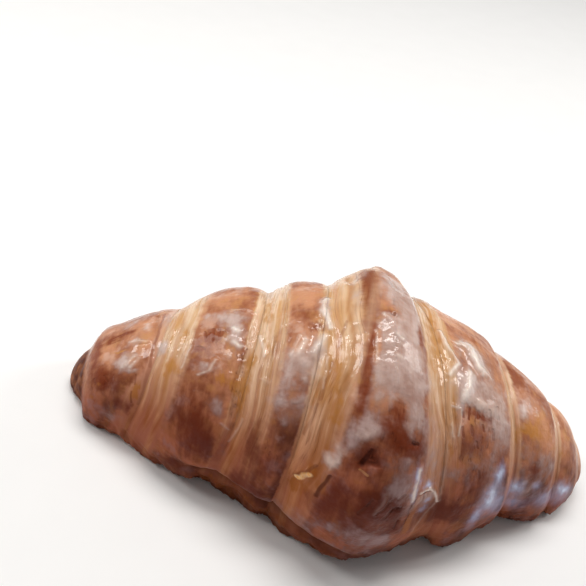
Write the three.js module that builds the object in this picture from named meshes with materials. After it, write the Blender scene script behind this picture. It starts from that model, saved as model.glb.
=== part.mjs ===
// Croissant: a long triangle of laminated dough, rolled up from its wide side to its point and baked.
// Millimetres. X runs along the roll, the rounded front faces -Y, Z is up and the tray lies at z = 0.
import * as THREE from "three";
import { ParametricGeometry } from "three/addons/geometries/ParametricGeometry.js";
import { mergeVertices } from "three/addons/utils/BufferGeometryUtils.js";

// The roll as a whole
const HALF_WIDTH = 38.5;
const HALF_HEIGHT = 38.5;
const AXIS_HEIGHT = 27.5; // less than the half height, because the underside is pressed flat on the tray
const TAPER_POWER = 0.78; // below one, the roll tapers fastest beside its middle
const MIDDLE_ROUNDING = 0.13; // share of the half length over which the two ends run into each other
const END_POWER = 7; // how bluntly each end is rounded off

// Its two ends: how far each is set back and droops, and where its layers end along the crest
const LEFT_END = {
  sign: -1,
  length: 80.5,
  taper: 0.68,
  setBack: 26.5,
  droop: 9,
  layerEdges: [15.1, 29.7, 53.4, 75.5],
};
const RIGHT_END = {
  sign: 1,
  length: 75,
  taper: 0.69,
  setBack: 11,
  droop: 5,
  layerEdges: [13.5, 38.4, 56.7, 69],
};
const TURNS = 4; // turns of dough from its point, tucked underneath, to the tip of an end

// The layers: a crown that slopes up to its shoulder, then a cut edge that steps down into the next crease
const EDGE_SHARE = 0.29; // share of a layer's width that its cut edge takes up
const STEP_DEPTH = 3.2; // height of that step at the middle of the roll
const CROWN_SLOPE = 0.75; // share of the step that the crown gains along its slope
const CREASE_SHARE = 0.05; // share of the width that the crease takes up
const CROWN_SWELL = 0.5; // how far a crown bulges
const LEDGE_COUNT = 2; // leaves of dough that stand out of a cut edge
const LEDGE_DEPTH = 0.4;

// Uneven rise of the dough
const SWELL_WAVES = [
  { height: 0.7, along: 0.09, around: 2, shift: 0.7 },
  { height: 0.5, along: 0.17, around: -3, shift: 2.1 },
];
// The curl on top of the middle layer
const PEAK = { height: 2, along: -0.5, spread: 7, turn: 0.47, turnSpread: 0.045 };

// Fineness of the surface
const STEPS_AROUND = 54;
const LINES_PER_LAYER = 10;
const LINE_CROWDING = 0.6; // draws the lines together at the creases

// Distance from the middle that a layer's edge has reached after a number of turns.
function edgeReach(end) {
  const turns = [0, 0.5, 1.5, 2.5, 3.5, TURNS];
  const reach = [0, ...end.layerEdges, end.length];
  return new THREE.CubicInterpolant(turns, reach, 1, new Float64Array(1));
}

LEFT_END.reach = edgeReach(LEFT_END);
RIGHT_END.reach = edgeReach(RIGHT_END);

// Relief of a layer across its width: share 0 is the crease at its inner side, 1 the crease at its edge.
function layerRelief(share, size) {
  const edge = Math.max(share - 1 + EDGE_SHARE, 0) / EDGE_SHARE;
  const crown = Math.min(share / (1 - EDGE_SHARE), 1);
  const slope = CROWN_SLOPE * (1 - crown) ** 1.6;
  const crease = (1 - CROWN_SLOPE) * Math.exp(-share / CREASE_SHARE);
  const ledges = LEDGE_DEPTH * Math.sin(2 * Math.PI * LEDGE_COUNT * edge);
  const depth = STEP_DEPTH * Math.sqrt(size);
  return CROWN_SWELL * Math.sin(Math.PI * crown) + ledges - depth * (edge ** 1.5 + slope + crease);
}

// Swelling of the dough that follows no layer.
function swelling(x, angle, turnShare) {
  let height = 0;
  for (const wave of SWELL_WAVES) {
    height += wave.height * Math.sin(wave.along * x + wave.around * angle + wave.shift);
  }
  const fromPeak = Math.hypot((x - PEAK.along) / PEAK.spread, (turnShare - PEAK.turn) / PEAK.turnSpread);
  return height + PEAK.height * Math.exp(-fromPeak * fromPeak);
}

// Point on the outside: u is the share of a turn from the dough's point, v runs across the layers.
function surfacePoint(u, v, target) {
  const across = 2 * v - 1;
  const end = across < 0 ? LEFT_END : RIGHT_END;
  const line = Math.abs(across) * (TURNS + 1) - 1;
  const lineShare = line - Math.floor(line);
  const crowded = line - (LINE_CROWDING / (2 * Math.PI)) * Math.sin(2 * Math.PI * lineShare);
  const turn = Math.min(Math.max(crowded + u, 0), TURNS);
  const share = turn - u - Math.floor(turn - u);
  const angle = 1.5 * Math.PI - 2 * Math.PI * u;

  const reach = end.reach.evaluate(turn)[0];
  const along = reach / end.length;
  const x = end.sign * reach;
  const outward = Math.hypot(along, MIDDLE_ROUNDING) - MIDDLE_ROUNDING;
  const size = 1 - end.taper * outward ** TAPER_POWER;
  const rounding = Math.sqrt(Math.max(1 - along ** END_POWER, 0));
  const relief = layerRelief(share, size) + swelling(x, angle, u);

  const axisY = end.setBack * outward;
  const axisZ = AXIS_HEIGHT * size - end.droop * along ** 4;
  const y = axisY - (HALF_WIDTH * size + relief) * rounding * Math.cos(angle);
  const z = axisZ + (HALF_HEIGHT * size + relief) * rounding * Math.sin(angle);
  target.set(x, y, Math.max(z, 0));
}

// One closed skin: equal points joined, and the triangles left out that have shrunk to a line or a point.
function closedSkin(surface) {
  surface.deleteAttribute("uv");
  surface.deleteAttribute("normal");
  const joined = mergeVertices(surface, 1e-3);
  const corners = joined.index.array;
  const kept = [];
  for (let i = 0; i < corners.length; i += 3) {
    const [a, b, c] = corners.slice(i, i + 3);
    if (a !== b && b !== c && c !== a) {
      kept.push(a, b, c);
    }
  }
  joined.setIndex(kept);
  return joined;
}

// Moves the skin so that the middle of its base lies at the origin.
function standOnOrigin(skin) {
  skin.computeBoundingBox();
  const middle = skin.boundingBox.getCenter(new THREE.Vector3());
  skin.translate(-middle.x, -middle.y, -skin.boundingBox.min.z);
}

const layerLines = 2 * (TURNS + 1) * LINES_PER_LAYER;
const skin = closedSkin(new ParametricGeometry(surfacePoint, STEPS_AROUND, layerLines));
standOnOrigin(skin);
skin.computeVertexNormals();

const crust = new THREE.MeshStandardMaterial({ name: "glazed_crust", color: 0xa8683c, roughness: 0.35 });
const croissant = new THREE.Mesh(skin, crust);
croissant.name = "croissant";

const part = new THREE.Group();
part.name = "glazed_croissant";
part.add(croissant);

export default part;
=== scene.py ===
"""Glazed croissant on a pale floor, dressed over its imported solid. Its node trees work in millimetres."""
import math

import bpy
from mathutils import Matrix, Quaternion, Vector


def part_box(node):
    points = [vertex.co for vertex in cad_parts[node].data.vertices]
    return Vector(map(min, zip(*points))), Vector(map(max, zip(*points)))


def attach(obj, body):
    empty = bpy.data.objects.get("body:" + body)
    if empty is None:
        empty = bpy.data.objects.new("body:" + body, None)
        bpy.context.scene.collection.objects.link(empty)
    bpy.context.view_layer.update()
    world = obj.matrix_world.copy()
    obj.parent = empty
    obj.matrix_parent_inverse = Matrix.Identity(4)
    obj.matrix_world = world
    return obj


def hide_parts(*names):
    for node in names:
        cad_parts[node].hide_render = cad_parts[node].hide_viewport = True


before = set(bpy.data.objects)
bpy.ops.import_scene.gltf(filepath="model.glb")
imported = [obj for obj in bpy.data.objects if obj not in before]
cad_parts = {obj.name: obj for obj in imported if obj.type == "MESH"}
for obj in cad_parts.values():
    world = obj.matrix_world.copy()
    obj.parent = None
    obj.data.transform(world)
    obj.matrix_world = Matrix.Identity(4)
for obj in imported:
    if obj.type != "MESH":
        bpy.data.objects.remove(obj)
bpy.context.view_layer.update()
scene = bpy.context.scene


# The croissant: one long triangle of laminated dough, rolled from its wide side to its point and baked.
# Each layer shows a smooth browned crown and, towards its end of the roll, the pale cut edge of the dough
# with its leaves. Sugar glaze was brushed on while it was warm.
MM = 0.001


class Field:
    """A value in a node tree; arithmetic on it adds the Math nodes that work it out."""

    def __init__(self, tree, socket):
        self.tree = tree
        self.socket = socket

    def math(self, operation, *others):
        node = self.tree.nodes.new("ShaderNodeMath")
        node.operation = operation
        for place, value in zip(node.inputs, (self, *others)):
            feed(self.tree, place, value)
        return Field(self.tree, node.outputs[0])

    def __add__(self, other):
        return self.math("ADD", other)

    def __radd__(self, other):
        return self.math("ADD", other)

    def __sub__(self, other):
        return self.math("SUBTRACT", other)

    def __rsub__(self, other):
        return self.math("MULTIPLY_ADD", -1.0, other)

    def __mul__(self, other):
        return self.math("MULTIPLY", other)

    def __truediv__(self, other):
        return self.math("DIVIDE", other)

    def __pow__(self, other):
        return self.math("POWER", other)

    def __neg__(self):
        return self.math("MULTIPLY", -1.0)

    def sin(self):
        return self.math("SINE")

    def cos(self):
        return self.math("COSINE")

    def exp(self):
        return self.math("EXPONENT")

    def sqrt(self):
        return self.math("SQRT")

    def fract(self):
        return self.math("FRACT")

    def abs(self):
        return self.math("ABSOLUTE")

    def least(self, other):
        return self.math("MINIMUM", other)

    def most(self, other):
        return self.math("MAXIMUM", other)

    def bell(self, middle, width):
        """1 where this equals the middle, fading to 0 a little past the width."""
        offset = (self - middle) / width
        return (-(offset * offset)).exp()

    def clamped(self):
        """This value, held between 0 and 1."""
        node = self.tree.nodes.new("ShaderNodeClamp")
        feed(self.tree, node.inputs["Value"], self)
        return Field(self.tree, node.outputs["Result"])

    def ramp(self, low, high, first=0.0, last=1.0):
        """Smooth step from the first value, at low, to the last one, at high."""
        node = self.tree.nodes.new("ShaderNodeMapRange")
        node.interpolation_type = "SMOOTHSTEP"
        values = {"Value": self, "From Min": low, "From Max": high, "To Min": first, "To Max": last}
        for name, value in values.items():
            feed(self.tree, node.inputs[name], value)
        return Field(self.tree, node.outputs["Result"])

    def choose(self, low, high):
        """low where this is 0, high where it is 1."""
        return low + (high - low) * self


def feed(tree, place, value):
    if isinstance(value, Field):
        tree.links.new(value.socket, place)
    else:
        place.default_value = value


def combine(tree, x, y, z):
    node = tree.nodes.new("ShaderNodeCombineXYZ")
    for place, value in zip(node.inputs, (x, y, z)):
        feed(tree, place, value)
    return Field(tree, node.outputs[0])


def vector_math(operation, first, second):
    tree = (first if isinstance(first, Field) else second).tree
    node = tree.nodes.new("ShaderNodeVectorMath")
    node.operation = operation
    feed(tree, node.inputs[0], first)
    feed(tree, node.inputs["Scale" if operation == "SCALE" else 1], second)
    gives_number = operation in ("DOT_PRODUCT", "DISTANCE")
    return Field(tree, node.outputs["Value" if gives_number else "Vector"])


def noise(vector, scale, detail=2.0, roughness=0.5, shift=0.0):
    """Noise from about -1 to 1; a shift takes it from another place of the pattern."""
    if shift:
        vector = vector_math("ADD", vector, (shift, shift * 0.7, shift * 1.3))
    node = vector.tree.nodes.new("ShaderNodeTexNoise")
    feed(vector.tree, node.inputs["Vector"], vector)
    node.inputs["Scale"].default_value = scale
    node.inputs["Detail"].default_value = detail
    node.inputs["Roughness"].default_value = roughness
    return Field(vector.tree, node.outputs["Fac"]) * 4.0 - 2.0


def near(point, centre, radii):
    """1 at the centre, fading to 0 a little past the radii."""
    offset = vector_math("SUBTRACT", point, centre)
    scaled = vector_math("DIVIDE", offset, radii)
    return (-vector_math("DOT_PRODUCT", scaled, scaled)).exp()


roll = bpy.data.node_groups.new("croissant_roll", "GeometryNodeTree")
# Lengths are millimetres; tapers, powers and the rounding are plain numbers.
roll_sizes = {
    "Half width": 38.5,
    "Half height": 38.5,
    "Axis height": 27.5,
    "Left length": 80.5,
    "Right length": 75.0,
    "Left taper": 0.68,
    "Right taper": 0.69,
    "Taper power": 0.78,
    "Left set back": 26.5,
    "Right set back": 11.0,
    "Left droop": 9.0,
    "Right droop": 5.0,
    "Middle rounding": 0.13,
    "End power": 7.0,
    "Step depth": 3.2,
    "Leaf depth": 0.4,
    "Blister height": 0.4,
    "Glaze thickness": 0.3,
}
roll_counts = {"Steps around": 300, "Lines across": 385}
turns = 4.0  # from the dough's point, tucked underneath, to the tip of an end
# Where the layers end along the crest, from the middle outwards
left_edges = (15.1, 29.7, 53.4, 75.5)
right_edges = (13.5, 38.4, 56.7, 69.0)

for name in roll_sizes:
    roll.interface.new_socket(name=name, in_out="INPUT", socket_type="NodeSocketFloat")
for name in roll_counts:
    roll.interface.new_socket(name=name, in_out="INPUT", socket_type="NodeSocketInt")
roll.interface.new_socket(name="Crust", in_out="INPUT", socket_type="NodeSocketMaterial")
roll.interface.new_socket(name="Roll", in_out="OUTPUT", socket_type="NodeSocketGeometry")
roll_in = roll.nodes.new("NodeGroupInput")
roll_out = roll.nodes.new("NodeGroupOutput")
size = {name: Field(roll, roll_in.outputs[name]) for name in roll_sizes}

# A flat grid: across it lie the layers from the left tip to the right one, along it one turn of the roll.
grid = roll.nodes.new("GeometryNodeMeshGrid")
feed(roll, grid.inputs["Vertices X"], Field(roll, roll_in.outputs["Steps around"]) + 1.0)
feed(roll, grid.inputs["Vertices Y"], Field(roll, roll_in.outputs["Lines across"]) + 1.0)
place = roll.nodes.new("GeometryNodeInputPosition")
axes = roll.nodes.new("ShaderNodeSeparateXYZ")
roll.links.new(place.outputs[0], axes.inputs[0])
even_turn = Field(roll, axes.outputs["X"]) + 0.5
part_turn = even_turn + (even_turn * (2 * math.pi)).sin() * (0.3 / (2 * math.pi))
across = Field(roll, axes.outputs["Y"]) * 2.0
is_right = across.math("GREATER_THAN", 0.0)
side = is_right * 2.0 - 1.0

# The layer's edge winds outwards like a screw: turn by turn it reaches further from the middle.
line = across.abs() * (turns + 1.0) - 1.0
crowded = line - (line.fract() * (2 * math.pi)).sin() * (0.5 / (2 * math.pi))
wound = crowded.most(-part_turn).least(turns - part_turn)
turn = wound + part_turn
share = wound.fract()
layer = wound.math("FLOOR")
angle = 1.5 * math.pi - part_turn * (2 * math.pi)
degrees = angle * (180.0 / math.pi)
height = 90.0 - (degrees - 90.0).abs()


def edge_reach(edges, length):
    node = roll.nodes.new("ShaderNodeFloatCurve")
    feed(roll, node.inputs["Value"], turn / turns)
    points = node.mapping.curves[0].points
    for number, edge in enumerate(edges):
        points.new((number + 0.5) / turns, edge / length)
    node.mapping.update()
    return Field(roll, node.outputs[0])


left_reach = edge_reach(left_edges, roll_sizes["Left length"])
right_reach = edge_reach(right_edges, roll_sizes["Right length"])
along = is_right.choose(left_reach, right_reach)
x = side * along * is_right.choose(size["Left length"], size["Right length"])
outward = (along * along + size["Middle rounding"] ** 2.0).sqrt() - size["Middle rounding"]
girth = 1.0 - is_right.choose(size["Left taper"], size["Right taper"]) * outward ** size["Taper power"]
rounding = (1.0 - along ** size["End power"]).most(0.0).sqrt()
axis_y = outward * is_right.choose(size["Left set back"], size["Right set back"])
droop = is_right.choose(size["Left droop"], size["Right droop"])
axis_z = size["Axis height"] * girth - along ** 4.0 * droop


def skin(relief):
    """The point of the surface that stands this far out of the smooth roll."""
    y = axis_y - (size["Half width"] * girth + relief) * rounding * angle.cos()
    z = axis_z + (size["Half height"] * girth + relief) * rounding * angle.sin()
    return combine(roll, x, y, z.math("SMOOTH_MAX", 0.0, 0.6))


smooth = skin(0.0)


# Each layer rises from its crease to a shoulder, whose line wavers, and then its cut edge steps down.
def by_layer(left, right):
    """A value for each layer of a side, the middle one first."""
    total = 0.0
    for values, on_side in ((left, 1.0 - is_right), (right, is_right)):
        for number, value in enumerate(values):
            total = layer.math("COMPARE", number - 1.0, 0.5) * on_side * value + total
    return total


off_middle = turn.ramp(0.0, 0.12)
waver = noise(combine(roll, turn * 9.0, side * 5.0, 0.0), 1.0, 4.0, 0.6) * 0.03
shoulder = by_layer((0.64, 0.58, 0.67, 0.93, 0.71), (0.76, 0.86, 0.80, 0.74, 0.74)) + waver
shoulder = off_middle.choose(0.70, shoulder)
eased = share + (turn * turn + 0.012).sqrt() - turn
past_shoulder = (eased - shoulder) / (1.0 - shoulder)
edge = past_shoulder.most(0.0)
crown = (eased / shoulder).least(1.0)
beside_middle = is_right * wound.bell(-0.08, 0.25)
softer = is_right.choose(0.2 + height.ramp(58.0, 88.0) * 0.4, 0.1 + wound.bell(0.0, 0.3) * 0.75)
softer = off_middle.choose(0.4, softer)
depth = size["Step depth"] * girth.sqrt() * (1.0 - softer * (1.0 - beside_middle * 0.8))
step = edge ** (1.3 - beside_middle * 0.75) + (1.0 - crown) ** 1.6 * 0.75 + (share * -12.0).exp() * 0.25
layers = (crown * math.pi).sin() * 0.5 - depth * step

# The dough rises unevenly, with a curl on top of the middle layer.
swell = (x * 0.09 + angle * 2.0 + 0.7).sin() * 0.7 + (x * 0.17 - angle * 3.0 + 2.1).sin() * 0.5
turned_place = combine(roll, x, part_turn, 0.0)
curl = near(turned_place, (-4.4, 0.465, 0.0), (4.5, 0.045, 1.0)) * 2.0
curl = curl - near(turned_place, (1.0, 0.45, 0.0), (4.0, 0.05, 1.0)) * 0.9
curl = curl - near(turned_place, (-8.4, 0.452, 0.0), (1.5, 0.016, 1.0)) * 1.4

# Leaves of dough lie along the cut edges in long strands that part and meet. The crowns are blistered.
fringe = noise(smooth, 0.5, 3.0, 0.6, shift=70.0) * 0.1
on_edge = (past_shoulder + fringe).ramp(-0.04, 0.14)
strand_body = by_layer((1.0, 1.0, 0.8, 0.0, 0.0), (0.9, 0.7, 0.5, 0.3, 0.3)) * height.ramp(-15.0, 50.0)
strand_body = (strand_body + layer.math("COMPARE", -1.0, 0.5) * 0.4).least(1.0)
layer_width = by_layer((15.0, 14.5, 23.5, 22.0, 8.0), (13.5, 25.0, 18.0, 12.0, 8.0))
strand_across = share * layer_width + noise(smooth, 0.03, 1.0, shift=15.0) * 2.2
strand_place = combine(roll, strand_across, turn * 5.0, side * 7.0 + layer * 3.0)
broad_strand = noise(vector_math("MULTIPLY", strand_place, (0.45, 0.7, 1.0)), 1.0, 2.0, 0.45)
fine_strand = noise(vector_math("MULTIPLY", strand_place, (1.0, 0.9, 1.0)), 1.0, 1.0, 0.5)
broken = noise(combine(roll, strand_across * 0.25, turn * 9.0, side * 4.0), 1.0, 2.0).ramp(-0.3, 0.5)
parting = (1.0 - broad_strand.abs().ramp(0.0, 0.22)) * broken
lip = past_shoulder.bell(0.03, 0.06) * (0.3 + strand_body * 0.7)
blisters = noise(smooth, 0.085, 2.0) * 0.8 + noise(smooth, 0.26, 2.0) * 0.25
leaves = (broad_strand * 0.7 + fine_strand * 0.25 - parting * 0.8) * size["Leaf depth"]
fine = leaves * on_edge * strand_body + lip * 0.2
fine = fine + blisters * size["Blister height"] * (1.0 - on_edge)
fine = fine * share.ramp(0.0, 0.05) * (1.0 - share.ramp(0.93, 1.0))

# Marks of this croissant lie at a distance along the roll in millimetres and a height round it in
# degrees, 90 on the crest and 0 at the front. Their outlines wander a little.
wander_along = noise(smooth, 0.4, 3.0, 0.6) * 0.8
wander_up = noise(smooth, 0.4, 3.0, 0.6, shift=40.0) * 2.6
mark_place = combine(roll, x + wander_along, degrees + wander_up, 0.0)
DEGREE = 0.6  # millimetres that a degree takes up round the roll
stroke_place = combine(roll, x + wander_along * 0.35, (degrees + wander_up * 0.35) * DEGREE, 0.0)


def group_of(name, inputs, output):
    """An empty node group, with its input fields by name and its output node."""
    group = bpy.data.node_groups.new(name, "GeometryNodeTree")
    for label, socket_kind in inputs:
        group.interface.new_socket(name=label, in_out="INPUT", socket_type=socket_kind)
    group.interface.new_socket(name=output, in_out="OUTPUT", socket_type="NodeSocketFloat")
    entry = group.nodes.new("NodeGroupInput")
    fields = {label: Field(group, entry.outputs[label]) for label, socket_kind in inputs}
    return group, fields, group.nodes.new("NodeGroupOutput")


VECTOR = "NodeSocketVector"
NUMBER = "NodeSocketFloat"
spot_inputs = (
    ("Place", VECTOR),
    ("Mark", VECTOR),
    ("Half size", VECTOR),
    ("Strength", NUMBER),
    ("Before", NUMBER),
)
spot_group, given, result = group_of("soft_mark", spot_inputs, "After")
offset = vector_math("DIVIDE", vector_math("SUBTRACT", given["Place"], given["Mark"]), given["Half size"])
faded = (-vector_math("DOT_PRODUCT", offset, offset)).exp()
feed(spot_group, result.inputs[0], faded * given["Strength"] + given["Before"])

# Distance from a drawn line, or from the lines before it where one is nearer.
stroke_inputs = (("Place", VECTOR), ("Start", VECTOR), ("Run", VECTOR), ("Before", NUMBER))
stroke_group, given, result = group_of("drawn_mark", stroke_inputs, "After")
offset = vector_math("SUBTRACT", given["Place"], given["Start"])
run_square = vector_math("DOT_PRODUCT", given["Run"], given["Run"])
run_part = vector_math("DOT_PRODUCT", offset, given["Run"]) / run_square
nearest = vector_math("SCALE", given["Run"], run_part.most(0.0).least(1.0))
feed(stroke_group, result.inputs[0], vector_math("DISTANCE", offset, nearest).least(given["Before"]))


def marked(group, values):
    node = roll.nodes.new("GeometryNodeGroup")
    node.node_tree = group
    for name, value in values.items():
        feed(roll, node.inputs[name], value)
    return Field(roll, node.outputs[0])


def spots(*rows):
    """Soft round marks, each given by place, height, half width, half height and strength."""
    total = 0.0
    for at, up, wide, tall, strength in rows:
        values = {"Place": mark_place, "Mark": (at, up, 0.0), "Half size": (wide, tall, 1.0)}
        total = marked(spot_group, {**values, "Strength": strength, "Before": total})
    return total.least(1.0)


def strokes(*lines):
    """Drawn marks, each given by its half width, strength and a line of places and heights."""
    total = 0.0
    for wide, strength, *points in lines:
        distance = 1000.0
        for (x0, up0), (x1, up1) in zip(points, points[1:]):
            run = (x1 - x0, (up1 - up0) * DEGREE, 0.0)
            values = {"Place": stroke_place, "Start": (x0, up0 * DEGREE, 0.0), "Run": run}
            distance = marked(stroke_group, {**values, "Before": distance})
        total = distance.bell(0.0, wide) * strength + total
    return total.least(1.0)


# Where the glaze lies as a thin whitish film.
seen = 1.0 - degrees.ramp(112.0, 126.0)
film = spots(
    # The left end
    (-66.0, 4.0, 6.0, 14.0, 0.25), (-66.0, -2.0, 4.0, 14.0, 0.15), (-65.0, 55.0, 3.0, 5.0, 0.65),
    (-64.0, 106.0, 3.0, 10.0, 0.4), (-62.0, 47.0, 3.0, 3.0, 0.45), (-61.5, 62.0, 2.4, 5.0, 0.6),
    (-61.0, 75.0, 2.6, 4.0, 0.6), (-60.0, 91.0, 1.4, 8.0, 0.5), (-54.4, 67.0, 1.6, 6.0, 0.85),
    (-54.0, 98.0, 2.0, 16.0, 0.6),
    # The left
    (-45.0, 8.0, 3.0, 8.0, 0.2), (-43.2, 53.0, 2.8, 4.0, 0.45), (-43.0, 88.0, 2.5, 3.0, 0.3),
    (-38.2, 32.0, 2.6, 6.0, 0.5), (-37.5, 85.0, 3.8, 4.5, 0.8), (-37.0, 62.0, 3.0, 3.0, 0.45),
    (-36.0, 72.0, 2.3, 6.0, 0.6), (-36.0, 23.0, 2.0, 5.0, 0.4), (-35.2, 6.0, 2.0, 9.0, 0.35),
    # Left of the middle
    (-24.0, 42.0, 3.4, 9.0, 0.4), (-22.0, 92.0, 3.0, 4.0, 0.3), (-21.5, 58.0, 3.6, 7.0, 0.65),
    (-21.0, 33.0, 4.0, 5.0, 0.2), (-19.5, 54.0, 4.0, 8.0, 0.3), (-18.5, 42.0, 3.0, 6.0, 0.35),
    (-18.0, 62.0, 3.0, 6.0, 0.2), (-17.0, 66.0, 2.0, 7.0, 0.8), (-15.3, 86.0, 1.5, 8.0, 0.7),
    # The middle
    (-14.0, -14.0, 4.0, 4.0, 0.4), (-11.0, 21.0, 1.9, 4.2, 1.2), (-8.6, 92.0, 1.8, 10.0, 0.5),
    (-8.0, 30.0, 2.4, 4.0, 0.6), (-7.6, 66.0, 0.8, 10.0, 0.35), (-7.0, -9.0, 4.5, 5.0, 0.55),
    (-4.5, 36.0, 3.4, 4.0, 0.7), (-3.6, 46.0, 1.8, 6.0, 0.5), (-1.5, 69.0, 3.6, 8.0, 0.7),
    (-0.5, 60.0, 3.4, 12.0, 0.3), (0.0, -11.0, 5.0, 5.0, 0.5), (1.5, 94.0, 4.2, 7.0, 1.0),
    (1.5, 26.5, 4.0, 3.0, 0.45), (2.0, -20.0, 8.0, 8.0, 0.4), (2.0, 56.0, 6.0, 6.0, 1.0),
    (2.0, 2.0, 9.0, 14.0, 0.3), (3.0, 78.0, 4.6, 20.0, 0.3), (3.0, 14.0, 4.0, 3.0, 0.3),
    (3.0, 70.0, 5.0, 16.0, 0.35), (3.4, 52.0, 5.0, 9.0, 0.5), (3.6, 98.0, 4.4, 9.0, 0.8),
    (4.5, 66.0, 3.6, 7.0, 0.7), (4.6, 86.0, 3.4, 6.0, 0.6), (5.0, 87.0, 2.5, 5.0, 0.6),
    (5.5, 17.0, 4.0, 7.0, 0.45), (6.0, 22.0, 2.5, 5.0, 0.4), (6.0, -12.0, 3.0, 5.0, 0.6),
    (6.3, 43.0, 2.8, 9.0, 0.9),
    # The right
    (14.0, 28.0, 4.0, 14.0, 0.55), (14.0, 4.0, 4.0, 8.0, 0.6), (20.0, 50.0, 1.4, 10.0, 0.6),
    (22.0, 21.0, 4.0, 4.0, 0.45), (24.0, 87.0, 5.0, 4.0, 0.5), (24.0, 2.0, 8.0, 12.0, 0.3),
    (25.0, 63.0, 5.6, 5.5, 1.0), (25.0, 76.0, 7.0, 13.0, 0.5), (27.0, 59.5, 5.5, 3.0, 0.7),
    (29.0, 27.0, 5.0, 4.0, 0.35), (30.0, 45.0, 12.0, 26.0, 0.22), (30.0, 66.0, 4.0, 8.0, 0.4),
    (31.0, 60.0, 3.0, 7.0, 0.6), (34.5, 48.0, 2.6, 16.0, 0.45),
    # The right end
    (43.0, 67.0, 2.0, 5.0, 0.5), (47.0, 75.0, 5.0, 7.0, 0.2), (47.0, 3.0, 9.0, 8.0, 0.35),
    (48.0, 30.0, 7.0, 10.0, 0.35), (50.0, 40.0, 14.0, 35.0, 0.12), (54.0, 40.0, 5.0, 12.0, 0.15),
    (62.0, 6.0, 8.0, 12.0, 0.4),
)
behind = (height + noise(smooth, 0.12, 3.0) * 18.0).ramp(30.0, 75.0) * 0.6 * (1.0 - on_edge)
film = seen.choose(behind, film)

# Ridges and drops where it set thick.
ridge_lines = (
    # The left end
    (1.1, 0.65, (-64.0, 50.0), (-61.5, 61.0)),
    (1.1, 0.7, (-62.5, 76.0), (-59.5, 74.0)),
    (1.0, 0.65, (-62.0, 51.0), (-60.6, 58.0)),
    (0.8, 0.5, (-59.3, 98.0), (-58.8, 86.0)),
    # The left
    (0.45, 0.6, (-47.0, 67.0), (-48.5, 52.0)),
    (0.6, 0.7, (-44.0, 48.5), (-41.6, 51.5), (-40.5, 58.0)),
    (0.6, 0.4, (-37.5, 91.5), (-34.0, 91.0), (-32.0, 88.0)),
    (1.1, 0.9, (-36.6, 78.0), (-35.6, 76.0)),
    (0.55, 0.4, (-36.5, 23.0), (-34.5, 20.0)),
    (1.1, 0.9, (-36.4, 69.0), (-34.8, 67.0)),
    (0.45, 0.4, (-31.7, 28.0), (-32.6, 19.0), (-34.0, 12.0)),
    (0.6, 0.65, (-30.0, 74.0), (-28.7, 62.0)),
    # Left of the middle
    (0.55, 0.4, (-28.8, 50.0), (-27.2, 48.5)),
    (0.8, 0.22, (-26.0, 83.0), (-22.0, 85.0), (-18.6, 84.0)),
    (0.8, 0.2, (-25.0, 78.0), (-21.0, 79.0), (-18.0, 77.0)),
    (0.6, 0.6, (-23.0, 61.0), (-21.4, 70.0)),
    (1.2, 0.85, (-21.4, 63.0), (-20.0, 68.5)),
    (1.2, 0.9, (-18.0, 62.5), (-15.6, 71.0)),
    # The middle
    (1.05, 1.0, (-15.0, 92.0), (-16.3, 88.0), (-15.3, 82.0), (-14.4, 75.0)),
    (0.5, 0.5, (-15.0, 49.0), (-14.4, 62.0)),
    (0.45, 0.6, (-4.6, 72.0), (-4.2, 60.0)),
    (0.5, 0.6, (-2.4, 80.0), (-1.6, 77.0)),
    (0.5, 0.6, (0.2, 62.5), (1.4, 62.0)),
    (0.6, 0.7, (0.4, 71.0), (1.8, 69.5)),
    (0.7, 0.3, (0.8, 5.4), (2.3, 12.2)),
    (0.8, 1.0, (9.9, 24.0), (9.9, 18.0), (10.2, 10.8)),
    (0.65, 1.0, (12.0, 14.0), (14.2, 13.8), (15.6, 14.4), (17.4, 10.6), (19.4, 5.4)),
    # The right
    (0.75, 0.9, (15.0, 90.0), (16.0, 82.0), (19.6, 73.5), (16.9, 66.5)),
    (0.45, 0.4, (17.9, 36.0), (19.0, 18.0), (19.5, 6.0), (18.2, 0.0), (16.6, -5.0), (14.5, -12.0)),
    (0.45, 0.6, (18.0, 52.5), (20.8, 52.5)),
    (0.5, 0.6, (18.2, 44.0), (19.2, 39.0)),
    (0.6, 0.8, (18.6, 85.0), (21.6, 85.0)),
    (0.45, 0.6, (20.9, 52.0), (20.8, 40.0)),
    (1.7, 1.0, (21.8, 86.0), (24.4, 87.5), (26.0, 79.0), (28.0, 76.0)),
    (1.35, 1.0, (23.2, 71.0), (22.6, 64.0), (21.0, 58.0)),
    (0.7, 0.8, (28.5, 76.0), (30.5, 74.5)),
)
ridges = strokes(*ridge_lines)
drip = spots(
    (-21.8, 61.0, 2.4, 4.0, 0.55), (-17.6, 57.0, 2.2, 6.0, 0.7), (-11.0, 21.0, 1.9, 4.0, 1.0),
    (-9.0, 27.0, 2.0, 3.0, 0.5), (-4.8, 34.0, 3.0, 2.5, 0.5), (23.0, 62.0, 2.5, 3.0, 0.5),
    (27.5, 58.0, 4.5, 2.2, 0.9), (33.0, 62.0, 2.0, 4.0, 0.5),
)
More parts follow.
